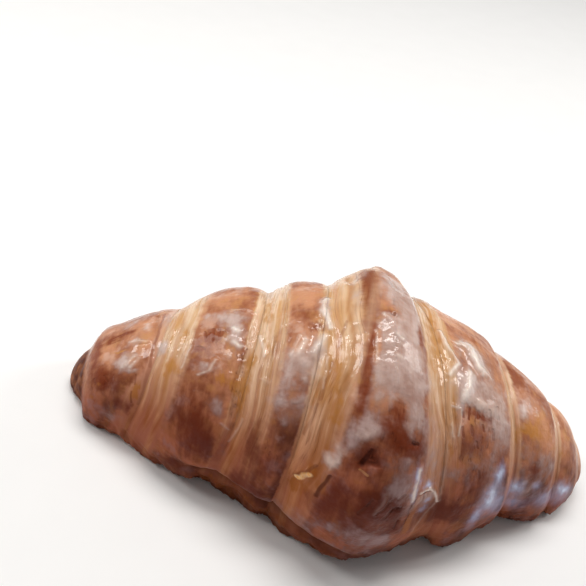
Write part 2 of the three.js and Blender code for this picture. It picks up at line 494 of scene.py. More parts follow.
wet = spots(
    # The left end
    (-61.5, 66.0, 4.0, 15.0, 1.0),
    # The left
    (-53.0, 75.0, 2.5, 12.0, 0.7), (-49.0, 72.0, 2.0, 13.0, 0.8), (-35.5, 72.0, 3.0, 12.0, 1.0),
    (-34.0, 52.0, 2.2, 16.0, 0.9),
    # Left of the middle
    (-29.0, 64.0, 2.0, 13.0, 0.8), (-19.0, 68.0, 5.0, 9.0, 0.9), (-15.5, 84.0, 1.5, 8.0, 0.9),
    # The middle
    (-10.0, 80.0, 3.0, 14.0, 0.6), (-9.0, 52.0, 2.5, 12.0, 0.5), (-1.0, 69.0, 3.6, 9.0, 0.9),
    (2.0, 95.0, 4.0, 8.0, 0.5), (9.5, 17.0, 1.6, 8.0, 1.0), (13.0, 72.0, 3.0, 12.0, 0.5),
    # The right
    (15.0, 11.0, 4.0, 6.0, 0.9), (21.0, 66.0, 5.0, 13.0, 1.0), (26.0, 81.0, 5.0, 8.0, 0.9),
    (35.0, 14.0, 3.0, 14.0, 1.0),
    # The right end
    (46.0, 14.0, 4.0, 9.0, 0.9), (62.0, 8.0, 4.0, 10.0, 0.8),
)
wet = seen.choose(behind * 0.8, wet)
crinkle = noise(combine(roll, x * 0.45, degrees * (DEGREE * 0.2), side * 3.0), 1.0, 2.0, 0.4) * 0.3
crinkle = crinkle + noise(smooth, 0.34, 2.0, 0.5, shift=11.0) * 0.3
glaze = film * size["Glaze thickness"] + ridges * 0.6 + drip * 0.7 + crinkle * wet * 0.7

# Where the crust is baked darker, where dough shows golden, and where dark flecks gather.
browned = spots(
    # The left end
    (-74.0, 90.0, 3.0, 30.0, 0.5), (-73.0, 60.0, 2.0, 30.0, 0.5), (-72.4, 78.0, 0.9, 15.0, 0.5),
    (-70.0, 45.0, 2.6, 10.0, 0.9), (-69.0, 96.0, 3.0, 10.0, 0.4), (-69.0, 86.0, 1.4, 4.0, 0.5),
    (-68.0, 33.0, 3.6, 8.0, 0.7), (-67.0, 84.0, 4.0, 12.0, 0.35), (-64.6, 92.0, 3.0, 2.6, 0.7),
    (-63.6, 18.0, 2.4, 9.0, 0.6), (-61.0, 14.0, 1.2, 8.0, 0.6), (-58.6, 58.0, 0.9, 12.0, 0.5),
    # The left
    (-47.0, -17.0, 2.6, 4.0, 0.9), (-44.6, 65.0, 1.4, 3.0, 0.8), (-44.0, 18.0, 5.6, 20.0, 0.85),
    (-42.0, 94.0, 4.0, 5.0, 0.3), (-41.5, 73.0, 2.6, 5.0, 0.7), (-40.0, 3.0, 4.6, 14.0, 0.55),
    (-36.0, 47.0, 2.6, 4.0, 0.4), (-34.6, 36.0, 1.2, 14.0, 0.45), (-33.8, 62.0, 1.2, 18.0, 0.5),
    # Left of the middle
    (-29.0, -10.0, 4.0, 10.0, 0.6), (-28.5, 16.0, 2.6, 18.0, 0.6), (-27.0, -16.0, 5.0, 6.0, 1.0),
    (-26.4, 68.0, 1.2, 8.0, 0.5), (-25.0, 10.0, 3.6, 12.0, 0.35), (-23.0, 88.0, 3.5, 5.0, 0.4),
    (-21.0, 12.0, 4.0, 12.0, 0.25), (-20.0, 81.0, 3.5, 4.0, 0.4), (-20.0, 50.0, 2.6, 4.0, 0.5),
    (-17.5, 75.0, 2.6, 2.2, 0.7),
    # The middle
    (-13.5, 0.0, 2.0, 6.0, 0.4), (-10.0, 0.0, 2.6, 6.0, 0.8), (-8.6, 11.0, 2.0, 8.0, 0.7),
    (-7.4, 22.0, 1.8, 4.0, 0.5), (-7.0, 42.0, 1.4, 8.0, 0.5), (-6.6, 51.0, 1.3, 8.0, 0.5),
    (-6.5, 56.0, 1.5, 10.0, 0.55), (-6.0, 80.0, 1.5, 14.0, 0.5), (-5.6, 102.0, 1.7, 14.0, 0.8),
    (-5.6, 67.0, 1.1, 9.0, 0.8), (-4.0, -10.0, 8.0, 12.0, 0.45), (-4.0, 95.0, 4.0, 16.0, 0.4),
    (-3.0, 26.0, 2.2, 4.0, 0.8), (-1.2, 37.0, 2.0, 3.0, 0.5), (-0.8, 80.0, 2.6, 1.7, 0.8),
    (0.0, 9.0, 6.0, 6.0, 0.7), (0.5, 30.0, 8.0, 10.0, 0.4), (1.0, 4.0, 8.0, 14.0, 0.5),
    (1.6, 42.0, 2.3, 5.0, 0.9), (4.5, 34.0, 3.0, 2.6, 0.7), (5.0, 30.0, 4.0, 6.0, 0.3),
    (5.6, 7.0, 2.6, 4.0, 0.8), (7.4, 76.0, 1.2, 8.0, 0.9), (7.4, -4.0, 1.8, 5.0, 0.8),
    (8.2, 31.0, 1.6, 2.5, 0.7), (8.5, 72.0, 0.8, 16.0, 0.7), (8.9, 46.0, 0.8, 14.0, 0.6),
    # The right
    (14.0, -2.0, 4.0, 8.0, 0.9), (20.0, -4.0, 2.5, 14.0, 0.6), (21.4, 75.0, 2.6, 2.6, 0.6),
    (24.0, -2.0, 4.0, 6.0, 0.9), (26.0, 2.0, 8.0, 12.0, 0.4), (27.0, 40.0, 6.0, 11.0, 0.5),
    (27.0, 52.5, 6.0, 2.4, 0.8), (28.0, 71.0, 2.8, 1.8, 0.7), (28.0, 100.0, 6.0, 8.0, 0.5),
    (30.5, 18.0, 3.0, 8.0, 0.6), (36.0, 32.0, 1.8, 9.0, 0.5),
    # The right end
    (40.0, 100.0, 6.0, 8.0, 0.4), (46.0, 86.0, 5.0, 6.0, 0.4), (48.6, 28.0, 2.3, 7.0, 1.1),
    (51.0, 0.0, 3.0, 10.0, 0.7), (68.0, 45.0, 6.0, 25.0, 0.6),
)
golden = spots(
    # The left end
    (-72.0, 20.0, 0.8, 1.8, 0.8), (-70.5, 33.0, 0.8, 2.0, 0.5), (-66.0, 67.0, 2.4, 1.9, 0.8),
    (-59.8, 30.0, 1.4, 10.0, 0.9),
    # The left
    (-51.0, 52.0, 2.8, 7.0, 0.8), (-48.6, 74.0, 1.4, 10.0, 0.7), (-38.0, 48.0, 3.5, 5.0, 0.55),
    (-35.0, 44.0, 2.0, 4.0, 0.35), (-33.0, 40.0, 1.5, 14.0, 0.8), (-31.5, 60.0, 1.4, 10.0, 0.6),
    # Left of the middle
    (-28.6, 92.0, 1.6, 16.0, 0.6), (-28.0, 68.0, 1.0, 10.0, 0.5), (-16.3, 2.0, 2.3, 7.0, 1.0),
    # The middle
    (-14.0, 13.0, 1.8, 3.0, 0.7), (-12.0, 56.0, 1.4, 13.0, 0.5), (-11.6, 9.0, 1.2, 7.0, 0.8),
    (-11.0, 40.0, 1.8, 8.0, 0.6), (-9.2, 88.0, 1.4, 8.0, 0.4), (-7.8, 52.0, 0.9, 7.0, 0.7),
    (12.5, 80.0, 3.6, 24.0, 0.75),
    # The right
    (19.6, 32.0, 1.2, 6.0, 0.6), (26.0, 48.0, 6.0, 4.0, 0.4),
    # The right end
    (41.0, 45.0, 1.8, 8.0, 0.6), (45.0, 54.0, 3.4, 3.4, 0.9), (47.0, 60.0, 6.0, 14.0, 0.35),
    (56.0, 48.0, 6.0, 16.0, 0.35), (62.0, 66.0, 3.0, 4.0, 0.5),
)
flecks = spots(
    # The left end
    (-70.0, 38.0, 3.5, 12.0, 0.8),
    # The left
    (-44.0, 26.0, 4.5, 10.0, 0.5), (-41.5, 68.0, 3.5, 6.0, 0.5), (-34.6, 34.0, 1.5, 10.0, 0.6),
    (-34.0, 54.0, 1.6, 10.0, 0.8), (-33.5, 70.0, 1.6, 12.0, 0.8),
    # Left of the middle
    (-24.0, 16.0, 4.0, 8.0, 0.5),
    # The middle
    (1.5, 38.0, 5.0, 8.0, 0.9), (4.0, 4.0, 6.0, 8.0, 0.8), (7.2, 72.0, 1.0, 9.0, 0.5),
    # The right
    (24.0, 3.0, 6.0, 8.0, 0.8), (27.0, 30.0, 8.0, 12.0, 0.7), (28.0, 50.0, 7.5, 7.0, 1.0),
    # The right end
    (49.0, 25.0, 3.0, 9.0, 0.5),
)

# Painted reflection: bluish-white patches where low, wet places mirror cool light.
cool_reflection_mask = spots(
    # The middle
    (9.9, 21.5, 0.9, 3.4, 1.0), (10.0, 14.5, 0.6, 4.0, 0.9),
    # The right
    (14.3, 16.4, 1.2, 1.6, 0.9), (15.3, 0.5, 0.8, 1.4, 0.5), (15.7, 6.5, 1.0, 1.6, 0.7),
    (33.0, -5.0, 1.5, 8.0, 0.7), (35.2, 9.5, 1.6, 8.0, 0.9), (36.6, 24.0, 1.3, 5.0, 0.9),
    (38.0, 4.0, 2.5, 9.0, 0.55),
    # The right end
    (44.4, 11.5, 2.2, 6.0, 1.0), (45.0, -6.0, 4.5, 8.0, 0.4), (51.0, 16.0, 1.4, 4.0, 0.5),
    (56.0, 2.0, 3.0, 8.0, 0.4), (62.0, -4.0, 6.0, 9.0, 0.35), (63.6, 9.5, 2.6, 7.0, 1.0),
)

# Pits and slits, a torn place with a flap beside it, and places that are wrinkled or ragged.
pits = strokes(
    (0.9, 1.0, (-4.3, 23.6), (-2.9, 28.4), (-1.2, 24.6), (-3.8, 23.4)),
    (0.60, 0.6, (-0.8, 79.8), (1.0, 79.2)),
    (0.65, 0.7, (5.2, 6.5), (7.0, 8.0)),
    (0.60, 0.6, (8.4, 0.0), (7.8, -5.0)),
    (0.55, 0.6, (6.2, 33.6), (7.4, 33.4)),
)
slits = strokes(
    (0.60, 0.8, (-10.5, 14.5), (-11.4, 9.0), (-12.3, 2.8)),
    (0.45, 0.2, (-11.0, 77.0), (-12.6, 66.0)),
    (0.45, 0.2, (-13.4, 60.0), (-15.2, 44.0)),
    (0.50, 0.9, (10.9, 10.0), (10.5, 6.0), (10.9, -3.0), (11.0, -9.0)),
    (0.45, 0.6, (-56.9, 110.0), (-56.6, 60.0)),
)
flap = strokes((0.9, 1.0, (-16.5, 6.2), (-15.6, 8.7), (-14.6, 11.4)))
torn = spots((-16.2, 1.0, 2.2, 6.5, 1.0))
worms = spots((-41.5, 73.0, 2.6, 6.0, 1.0))
wriggle = (x * 2.2 + noise(smooth, 0.3) * 1.6).sin() * worms
crease_wrinkles = (x * 1.5 + degrees * 0.55 + noise(smooth, 0.2) * 0.8).sin()
crease_wrinkles = crease_wrinkles * spots((2.5, 9.0, 3.5, 6.0, 1.0))
ragged = spots(
    (-34.4, 36.0, 1.6, 8.0, 0.8), (-34.0, 24.0, 1.6, 7.0, 0.6), (-33.8, 55.0, 1.8, 11.0, 1.0),
    (-33.0, 74.0, 1.8, 9.0, 1.0),
)
ragged = noise(smooth, 0.62, 2.0, 0.6) * ragged
marks = pits.ramp(0.1, 0.9) * -1.3 - slits * 0.7 + flap * 0.8 - torn * 1.3
marks = marks + wriggle * 0.45 + crease_wrinkles * 0.35 + ragged * 0.5

# The foot: the dough sagged on the tray, more in some places than in others, and a groove runs above it.
sag = spots(
    (-65.0, -30.0, 7.0, 18.0, 0.8), (1.0, -36.0, 8.0, 16.0, 0.9), (30.0, -36.0, 6.0, 16.0, 0.9),
    (62.0, -30.0, 9.0, 22.0, 1.0),
)
drawn_in = spots(
    (-39.0, -34.0, 2.5, 14.0, 0.7), (-29.0, -34.0, 5.0, 14.0, 1.0), (16.0, -30.0, 2.5, 14.0, 0.6),
)
smooth_z = axis_z + size["Half height"] * girth * angle.sin()
front_left = x.ramp(-52.0, -38.0) * (1.0 - x.ramp(-6.0, 4.0)) * angle.cos().ramp(0.1, 0.4)
foot_height = smooth_z + noise(combine(roll, x * 0.12, 0.0, 0.0), 1.0) * 0.9
foot = (1.0 - foot_height.ramp(6.0, 9.5)) * front_left
groove = foot_height.bell(9.5, 1.4) * front_left
margin = foot_height.bell(12.6, 1.6) * front_left
hollow = spots((14.0, -1.0, 3.6, 8.0, 1.0))
rough_foot = noise(smooth, 0.3, 3.0, 0.6, shift=5.0) * (1.0 - smooth_z.ramp(3.0, 9.0))
base = rough_foot * 1.2 + foot * 1.2 + margin * 0.4 - groove
base = base + sag * 2.6 - drawn_in * 2.4 - hollow * 1.6

# At the left tip the last layer ends in a rim, and the end of the roll's core stands out of it as a nub.
rim = x.abs().ramp(66.0, 73.6) - x.abs().ramp(74.0, 75.8) * 1.8
rim = rim * (1.0 - is_right) * (3.2 - height.ramp(20.0, 70.0) * 2.0)

relief = layers + swell + curl + fine + glaze + marks + base + rim

# What the crust's colours follow is stored on the flat grid, before it is bent.
tail_share = by_layer((0.0, 0.02, 0.1, 0.06, 0.05), (0.0, 0.13, 0.06, 0.05, 0.05))
tail_share = tail_share + by_layer((0.0, 0.0, 0.0, 0.13, 0.0), (0.0,)) * (1.0 - height.ramp(28.0, 50.0))
tail = 1.0 - (share + fringe * 0.3).ramp(tail_share, tail_share + 0.05)
tail = tail * layer.math("GREATER_THAN", -0.5)
tip = (1.0 - is_right) * x.abs().ramp(74.6, 76.4)
dough_shows = (on_edge + tail).least(1.0)
browned_behind = noise(smooth, 0.1, 2.0, shift=25.0).ramp(0.0, 1.0) * 0.55
golden_behind = noise(smooth, 0.15, 2.0, shift=32.0).ramp(0.2, 1.0) * 0.6
# Painted shade: how dark the crease at the start of each layer is painted.
crease_shade_strength = by_layer((0.0, 0.0, 0.4, 0.3, 0.8), (0.0, 0.3, 0.6, 0.6, 0.6))
masks = {
    "layer_turn": turn,
    "layer_side": side,
    "broad_strand": broad_strand,
    "parting": parting,
    "strand_across": strand_across,
    "dough_shows": dough_shows,
    "strand_body": strand_body,
    "lip": lip,
    "crease": (share * -26.0).exp() * crease_shade_strength,
    "tip": tip,
    "degrees": degrees,
    "film": (film + margin * 0.45).least(1.0),
    "drip": drip,
    "wet": wet,
    "browned": (seen.choose(browned_behind, browned) + foot * 0.6).least(1.0),
    "golden": (seen.choose(golden_behind, golden) + foot * 0.5).least(1.0),
    # Painted shade in the slits and in the groove above the foot.
    "dark": (slits * 0.4 + groove).least(1.0),
    "flecks": flecks,
    "cool_reflection_mask": cool_reflection_mask,
}
geometry = grid.outputs["Mesh"]
for name, field in masks.items():
    store = roll.nodes.new("GeometryNodeStoreNamedAttribute")
    store.data_type = "FLOAT"
    store.inputs["Name"].default_value = name
    feed(roll, store.inputs["Value"], field)
    roll.links.new(geometry, store.inputs["Geometry"])
    geometry = store.outputs["Geometry"]
set_place = roll.nodes.new("GeometryNodeSetPosition")
roll.links.new(geometry, set_place.inputs["Geometry"])
feed(roll, set_place.inputs["Position"], skin(relief))

to_metres = roll.nodes.new("GeometryNodeTransform")
to_metres.inputs["Scale"].default_value = (MM, MM, MM)
roll.links.new(set_place.outputs[0], to_metres.inputs["Geometry"])
joined = roll.nodes.new("GeometryNodeMergeByDistance")
joined.inputs["Distance"].default_value = 0.002 * MM
roll.links.new(to_metres.outputs[0], joined.inputs["Geometry"])
shaded = roll.nodes.new("GeometryNodeSetShadeSmooth")
roll.links.new(joined.outputs[0], shaded.inputs["Geometry"])
real = roll.nodes.new("GeometryNodeRealizeInstances")
roll.links.new(shaded.outputs[0], real.inputs["Geometry"])
painted = roll.nodes.new("GeometryNodeSetMaterial")
roll.links.new(real.outputs[0], painted.inputs["Geometry"])
roll.links.new(roll_in.outputs["Crust"], painted.inputs["Material"])
roll.links.new(painted.outputs[0], roll_out.inputs["Roll"])


# Its crust: browned crowns, pale leaves of dough in the cut edges, and a whitish film of sugar glaze.
def colour(red, green, blue):
    """A colour given as a screen shows it, in the light units that shaders use."""

    def linear(value):
        value = value / 255
        return value / 12.92 if value <= 0.04045 else ((value + 0.055) / 1.055) ** 2.4

    return (linear(red), linear(green), linear(blue), 1.0)


crust = bpy.data.materials.new("glazed_crust")
crust.use_nodes = True
paint = crust.node_tree


def mask(name):
    node = paint.nodes.new("ShaderNodeAttribute")
    node.attribute_name = name
    return Field(paint, node.outputs["Fac"])


def blend(factor, first, second):
    node = paint.nodes.new("ShaderNodeMix")
    node.data_type = "RGBA"
    feed(paint, node.inputs[0], factor)
    feed(paint, node.inputs[6], first)
    feed(paint, node.inputs[7], second)
    return Field(paint, node.outputs[2])


where = paint.nodes.new("ShaderNodeTexCoord")
point = vector_math("SCALE", Field(paint, where.outputs["Object"]), 1 / MM)
point_axes = paint.nodes.new("ShaderNodeSeparateXYZ")
feed(paint, point_axes.inputs[0], point)
middle_shift = 2.75  # the middle of the roll lies this far along from the middle of its box
along_in = Field(paint, point_axes.outputs["X"]) - middle_shift
degrees_in = mask("degrees")
turn_in = mask("layer_turn")
side_in = mask("layer_side")
broad_in = mask("broad_strand")
browned_mask = mask("browned")
wet_in = mask("wet")
shows_in = mask("dough_shows")
strands_in = mask("strand_body")
height_in = 90.0 - (degrees_in - 90.0).abs()
# Painted shade: the colours below mix a lit copy on the upper side with a darker shaded copy towards the
# front and the floor, as light falls from above.
painted_top_light = height_in.ramp(6.0, 74.0)
edge_painted_top_light = height_in.ramp(4.0, 88.0)
# The glaze film, and a faint painted sheen on the upper crowns wherever the cut edge does not show.
glaze_film_and_sheen = mask("film") * (1.0 - browned_mask * 0.5) + painted_top_light * (1.0 - shows_in) * (1.0 - browned_mask) * 0.1

# Unevenness of several sizes, and streaks that run round the roll.
patches = noise(point, 0.085, 3.0, 0.55)
warmth = noise(point, 0.17, 3.0, 0.6, shift=8.0)
mottle = noise(point, 0.3, 2.0, 0.5)
speckle = noise(point, 1.0, 2.0, 0.5)
streaks = noise(combine(paint, along_in * 0.6, degrees_in * 0.07, 3.0), 1.0, 3.0, 0.55)
fine_streaks = noise(combine(paint, along_in * 1.8, degrees_in * 0.16, 3.0), 1.0, 3.0, 0.6)

# The leaves of the cut edges: pale, ochre and rosy strands, with thin lines of painted shade where they
# part and of painted highlight where they catch light.
strand_at = mask("strand_across")
strand_tone = noise(combine(paint, strand_at * 0.55, turn_in * 4.0, side_in * 7.0), 1.0, 2.0, 0.5)
strand_lines = noise(combine(paint, strand_at * 1.3, turn_in * 6.0, side_in * 5.0), 1.0, 2.0, 0.5)
strand_hue = noise(combine(paint, strand_at * 0.35, turn_in * 7.0, side_in * 9.0), 1.0, 2.0, 0.5)
strand_breaks = noise(combine(paint, strand_at * 0.4, turn_in * 11.0, side_in * 3.0), 1.0, 2.0, 0.5)
strand_light = (strand_tone * 0.8 + strand_lines * 0.25 + broad_in * 0.3 + patches * 0.4).ramp(-0.8, 0.6)
# Painted shade: each strand colour has a shaded copy low down and a lit copy higher up.
pale = blend(edge_painted_top_light, colour(182, 118, 80), colour(238, 206, 174))
ochre = blend(edge_painted_top_light, colour(138, 72, 30), colour(208, 154, 98))
rosy = blend(edge_painted_top_light, colour(150, 82, 60), colour(212, 158, 130))
edge_colour = blend(strand_light, ochre, pale)
edge_colour = blend((strand_hue * 0.8 - strands_in * 0.9 + 0.75).most(0.0).least(0.9), edge_colour, rosy)
split = (1.0 - strand_lines.abs().ramp(0.02, 0.16)) * strand_breaks.ramp(-0.2, 0.5)
split = split.most(mask("parting")) * strands_in
# Painted shade in the partings between the leaves, in a shaded and a lit copy.
split_shade_colour = blend(edge_painted_top_light, colour(106, 50, 20), colour(166, 100, 50))
edge_colour = blend(split * 0.45, edge_colour, split_shade_colour)
# Painted highlight: thin pale glints along the strands.
painted_strand_glint = strand_lines.bell(0.42, 0.07) * (0.0 - strand_breaks).ramp(-0.3, 0.4) * strands_in
strand_glint_colour = blend(edge_painted_top_light, colour(198, 138, 98), colour(250, 230, 202))
edge_colour = blend(painted_strand_glint * 0.45, edge_colour, strand_glint_colour)

# The crowns: brown in patches and streaks, here golden and there rosy, and darker where baked longer.
tone = (patches + mottle * 0.2 + streaks * 0.3 + speckle * 0.04).ramp(-0.8, 0.8)
crown_high = blend(tone, colour(206, 146, 110), colour(150, 84, 54))
crown_high = blend(warmth.ramp(0.1, 0.8) * 0.4, crown_high, colour(206, 148, 88))
crown_high = blend((0.0 - warmth).ramp(0.1, 0.8) * 0.5, crown_high, colour(220, 182, 164))
crown_low = blend(tone, colour(160, 90, 64), colour(76, 27, 11))
crown_low = blend((warmth + speckle * 0.1).ramp(0.0, 0.7) * 0.4, crown_low, colour(142, 80, 34))
crown_low = blend((mottle * 0.3 - warmth).ramp(0.0, 0.8) * 0.6, crown_low, colour(142, 100, 97))
# Painted shade: the crown's shaded low colour towards the front and its lit high colour on top.
crown_colour = blend(painted_top_light, crown_low, crown_high)
browned_in = (browned_mask + mottle * 0.15 + streaks * 0.18 + speckle * 0.05).ramp(0.02, 1.0)
browned_in = browned_in * browned_mask.ramp(0.0, 0.4)
dough = blend(shows_in, crown_colour, edge_colour)
dough = blend(browned_in * 0.9, dough, blend(painted_top_light, colour(92, 30, 9), colour(128, 54, 22)))
golden_mask = mask("golden")
golden_in = (golden_mask + mottle * 0.3 + fine_streaks * 0.2).ramp(0.2, 0.8) * golden_mask.ramp(0.05, 0.3)
dough = blend(golden_in * 0.75, dough, blend(painted_top_light, colour(146, 78, 20), colour(194, 132, 60)))
dough = blend(mask("lip") * 0.4, dough, blend(painted_top_light, colour(190, 128, 100), colour(226, 188, 156)))
# Painted shade along the creases where one layer tucks under the next.
crease_shade = (mask("crease") * (0.4 + mottle * 0.3)).most(0.0)
dough = blend(crease_shade, dough, blend(painted_top_light, colour(92, 40, 16), colour(140, 76, 40)))
# Painted shade: darker towards the bottom, under the roll.
dough = blend((1.0 - height_in.ramp(-45.0, -8.0)) * 0.65, dough, colour(84, 36, 16))
tip_in = mask("tip")
dough = blend(tip_in, dough, blend(mottle.ramp(-0.6, 0.6), colour(144, 82, 42), colour(84, 32, 14)))
fleck_noise = noise(combine(paint, along_in, degrees_in * 0.22, 3.0), 1.0, 2.0, 0.5)
fleck_in = fleck_noise.ramp(0.3, 0.85) * mask("flecks")
# Dark flecks of the crust, and painted shade in the slits and the groove above the foot.
flecks_and_recess_shade = (fleck_in * 0.75).most(mask("dark") * 0.6)
dough = blend(flecks_and_recess_shade, dough, blend(painted_top_light, colour(64, 23, 10), colour(96, 38, 18)))

# Fine marks that need a sharp outline are drawn here once more: pits, slits, the torn flap and thick glaze.
sway = noise(point, 0.3, 1.0)
sheet = combine(paint, along_in + sway * 0.3, degrees_in * DEGREE + sway * 0.3, 0.0)


def drawn_distance(*points):
    """Distance from a line of places and heights, in few nodes, because every sample works it out."""
    distances = []
    for (x0, up0), (x1, up1) in zip(points, points[1:]):
        run = Vector((x1 - x0, (up1 - up0) * DEGREE, 0.0))
        offset = vector_math("SUBTRACT", sheet, (x0, up0 * DEGREE, 0.0))
        run_part = vector_math("DOT_PRODUCT", offset, run / run.length_squared).clamped()
        distances.append(vector_math("DISTANCE", offset, vector_math("SCALE", run, run_part)))
    shortest = distances[0]
    for distance in distances[1:]:
        shortest = shortest.least(distance)
    return shortest


def drawn(wide, *points, strength=1.0):
    """The strength on such a line, 0 a little beyond its half width."""
    return drawn_distance(*points).ramp(wide * 0.4, wide * 1.3, strength, 0.0)


def all_drawn(*lines):
    """The strongest of several such lines, each given by its half width, strength and points."""
    strongest = 0.0
    for wide, strength, *points in lines:
        strongest = drawn(wide, *points, strength=strength).most(strongest)
    return strongest


hole = drawn(0.75, (-4.4, 23.0), (-2.9, 28.6), (-1.0, 24.4), (-3.9, 23.2), (-2.6, 25.4))
hole_shade = drawn(0.55, (-4.6, 22.8), (-3.0, 28.8))
hole_rim = drawn(0.3, (-5.0, 20.9), (-3.9, 20.3), (-2.9, 19.8)) * (0.4 + mottle * 0.3)
small_holes = all_drawn(
    (0.35, 0.8, (-0.8, 79.8), (1.0, 79.2)),
    (0.45, 0.7, (5.0, 6.5), (7.2, 8.0)),
    (0.40, 0.7, (8.4, 0.0), (7.8, -5.0)),
    (0.35, 0.8, (6.0, 33.6), (8.0, 33.4)),
    (0.35, 0.8, (10.9, 10.0), (10.5, 6.0), (10.9, -4.0)),
    (0.30, 0.6, (-1.6, 8.0), (-0.6, 11.0)),
)
wrinkles = all_drawn(
    # The left end
    (0.45, 0.6, (-69.5, 88.0), (-65.5, 93.0)),
    (0.4, 0.5, (-69.0, 81.0), (-66.5, 84.0)),
    (0.35, 0.5, (-69.0, 42.0), (-67.6, 36.0)),
    (0.35, 0.5, (-60.8, 30.0), (-60.4, 20.0)),
    (0.35, 0.5, (-60.4, 44.0), (-60.2, 36.0)),
    (0.55, 0.3, (-57.0, 51.0), (-57.6, 31.0), (-58.5, 19.0)),
    (0.45, 0.5, (-55.2, 110.0), (-56.2, 80.4), (-56.8, 68.4), (-57.0, 51.0)),
    # The left
    (0.6, 0.6, (-44.8, 66.0), (-43.6, 65.0)),
    (0.45, 0.7, (-44.0, 76.0), (-43.2, 70.0), (-42.6, 75.0)),
    (0.45, 0.7, (-42.0, 78.0), (-41.6, 70.0)),
    (0.45, 0.6, (-40.5, 77.5), (-40.0, 71.0), (-39.2, 76.0)),
    # Left of the middle
    (0.4, 0.45, (-17.6, 6.0), (-16.0, 10.6), (-14.9, 13.2), (-13.6, 17.0)),
    (0.4, 0.3, (-15.6, 42.0), (-17.4, 28.0)),
    # The middle
    (0.4, 0.3, (-13.4, 60.0), (-15.2, 44.0)),
    (0.4, 0.35, (-11.0, 77.0), (-12.6, 66.0)),
    (0.5, 0.8, (-10.5, 14.5), (-11.4, 9.0), (-12.3, 2.8)),
    (0.45, 0.6, (-2.6, 4.0), (-1.2, 9.0)),
    (0.45, 0.7, (1.6, 5.0), (4.0, 11.5)),
    (0.45, 0.7, (3.4, 2.0), (5.4, 8.0)),
    (0.5, 0.6, (5.6, 12.0), (7.0, 14.0)),
    # The right
    (0.7, 0.9, (21.2, 54.5), (21.4, 49.0)),
    (0.5, 0.7, (21.8, 44.0), (22.4, 40.0)),
    (0.55, 0.9, (23.4, 54.0), (23.5, 49.0)),
    (0.55, 0.8, (24.8, 46.0), (25.4, 42.0)),
    (0.65, 0.9, (26.6, 54.0), (26.4, 51.0)),
    (0.5, 0.7, (27.0, 39.0), (27.4, 36.0)),
    (0.5, 0.7, (28.4, 48.0), (28.8, 45.0)),
    (0.35, 0.6, (29.0, 24.0), (29.6, 20.0)),
    (0.65, 0.9, (30.2, 56.0), (30.6, 50.0)),
    (0.55, 0.7, (31.8, 47.0), (32.2, 42.0)),
    (0.7, 0.9, (32.6, 59.0), (33.2, 54.0)),
)
# Dark lines in the crevices and wrinkles: partly darker crust and partly painted shade, with a shaded and a
# lit copy.
dough = blend(wrinkles, dough, blend(painted_top_light, colour(84, 34, 16), colour(136, 66, 38)))
# Painted shade in the pits: a dark brown fill, darkest along the left side of the large pit and in the
# small holes.
dough = blend(hole * 0.75, dough, colour(104, 46, 28))
dough = blend((hole_shade * 0.8).most(small_holes * 0.75), dough, colour(70, 25, 14))
dough = blend(hole_rim.most(0.0), dough, colour(196, 140, 92))
fold = drawn(1.2, (12.2, 11.0), (12.2, 3.0), (12.0, -10.0)) * (0.7 + mottle * 0.3)
dough = blend(fold.most(0.0), dough, colour(150, 86, 42))
flap_in = drawn(0.6, (-17.0, 6.2), (-16.2, 7.6), (-15.7, 9.8), (-14.6, 11.6))
flap_in = (flap_in * (0.75 + mottle * 0.4 + speckle * 0.5)).most(0.0).least(1.0)
flap_colour = blend(speckle.ramp(-0.6, 0.6), colour(252, 212, 164), colour(214, 156, 92))
dough = blend(flap_in, dough, flap_colour)

# The glaze over them: a thin veil, whiter where more of it lies and with a painted sheen towards the top,
# and white where it set thick, partly white sugar and partly painted highlight.
film_body = (glaze_film_and_sheen + mottle * 0.18 + streaks * 0.12 + patches * 0.2 + speckle * 0.05).ramp(0.12, 0.88)
film_body = film_body * glaze_film_and_sheen.ramp(0.0, 0.35)
veil = (film_body * (0.88 + fine_streaks * 0.07)).most(0.0).least(0.9)
film_tone = (mottle * 0.4 + patches * 0.5 + streaks * 0.2).ramp(-0.6, 0.6)
film_low = blend(film_tone, colour(128, 94, 92), colour(150, 120, 118))
film_high = blend(film_tone, colour(174, 139, 126), colour(212, 188, 179))
# Painted shade: the film too has a shaded low copy and a lit high copy.
surface = blend(veil, dough, blend(painted_top_light, film_low, film_high))
# Painted reflection of cool light, brightest and bluest in the middle of each patch.
painted_cool_reflection = (mask("cool_reflection_mask") * (0.95 + fine_streaks * 0.12 + sway * 0.15)).most(0.0).least(0.95)
surface = blend(painted_cool_reflection, surface, blend(painted_cool_reflection ** 3.0, colour(166, 176, 216), colour(222, 233, 255)))
thick_in = 0.0
for wide, strength, *points in ridge_lines:
    thick_in = (drawn_distance(*points).bell(0.0, wide) * strength).most(thick_in)
# White where the glaze set thick: partly white sugar and partly a painted highlight along the ridges, in a
# shaded and a lit copy.
white_glaze_and_highlight = (thick_in * thick_in * (0.8 + mottle * 0.4)).most(0.0).least(0.85)
surface = blend(white_glaze_and_highlight, surface, blend(painted_top_light, colour(212, 188, 176), colour(250, 234, 222)))
# Drips of glaze painted pale: partly the glaze's own colour and partly a painted highlight.
drip_glaze_and_highlight = (mask("drip") * (0.8 + mottle * 0.3)).ramp(0.1, 0.9)
surface = blend(drip_glaze_and_highlight * 0.75, surface, colour(222, 194, 180))

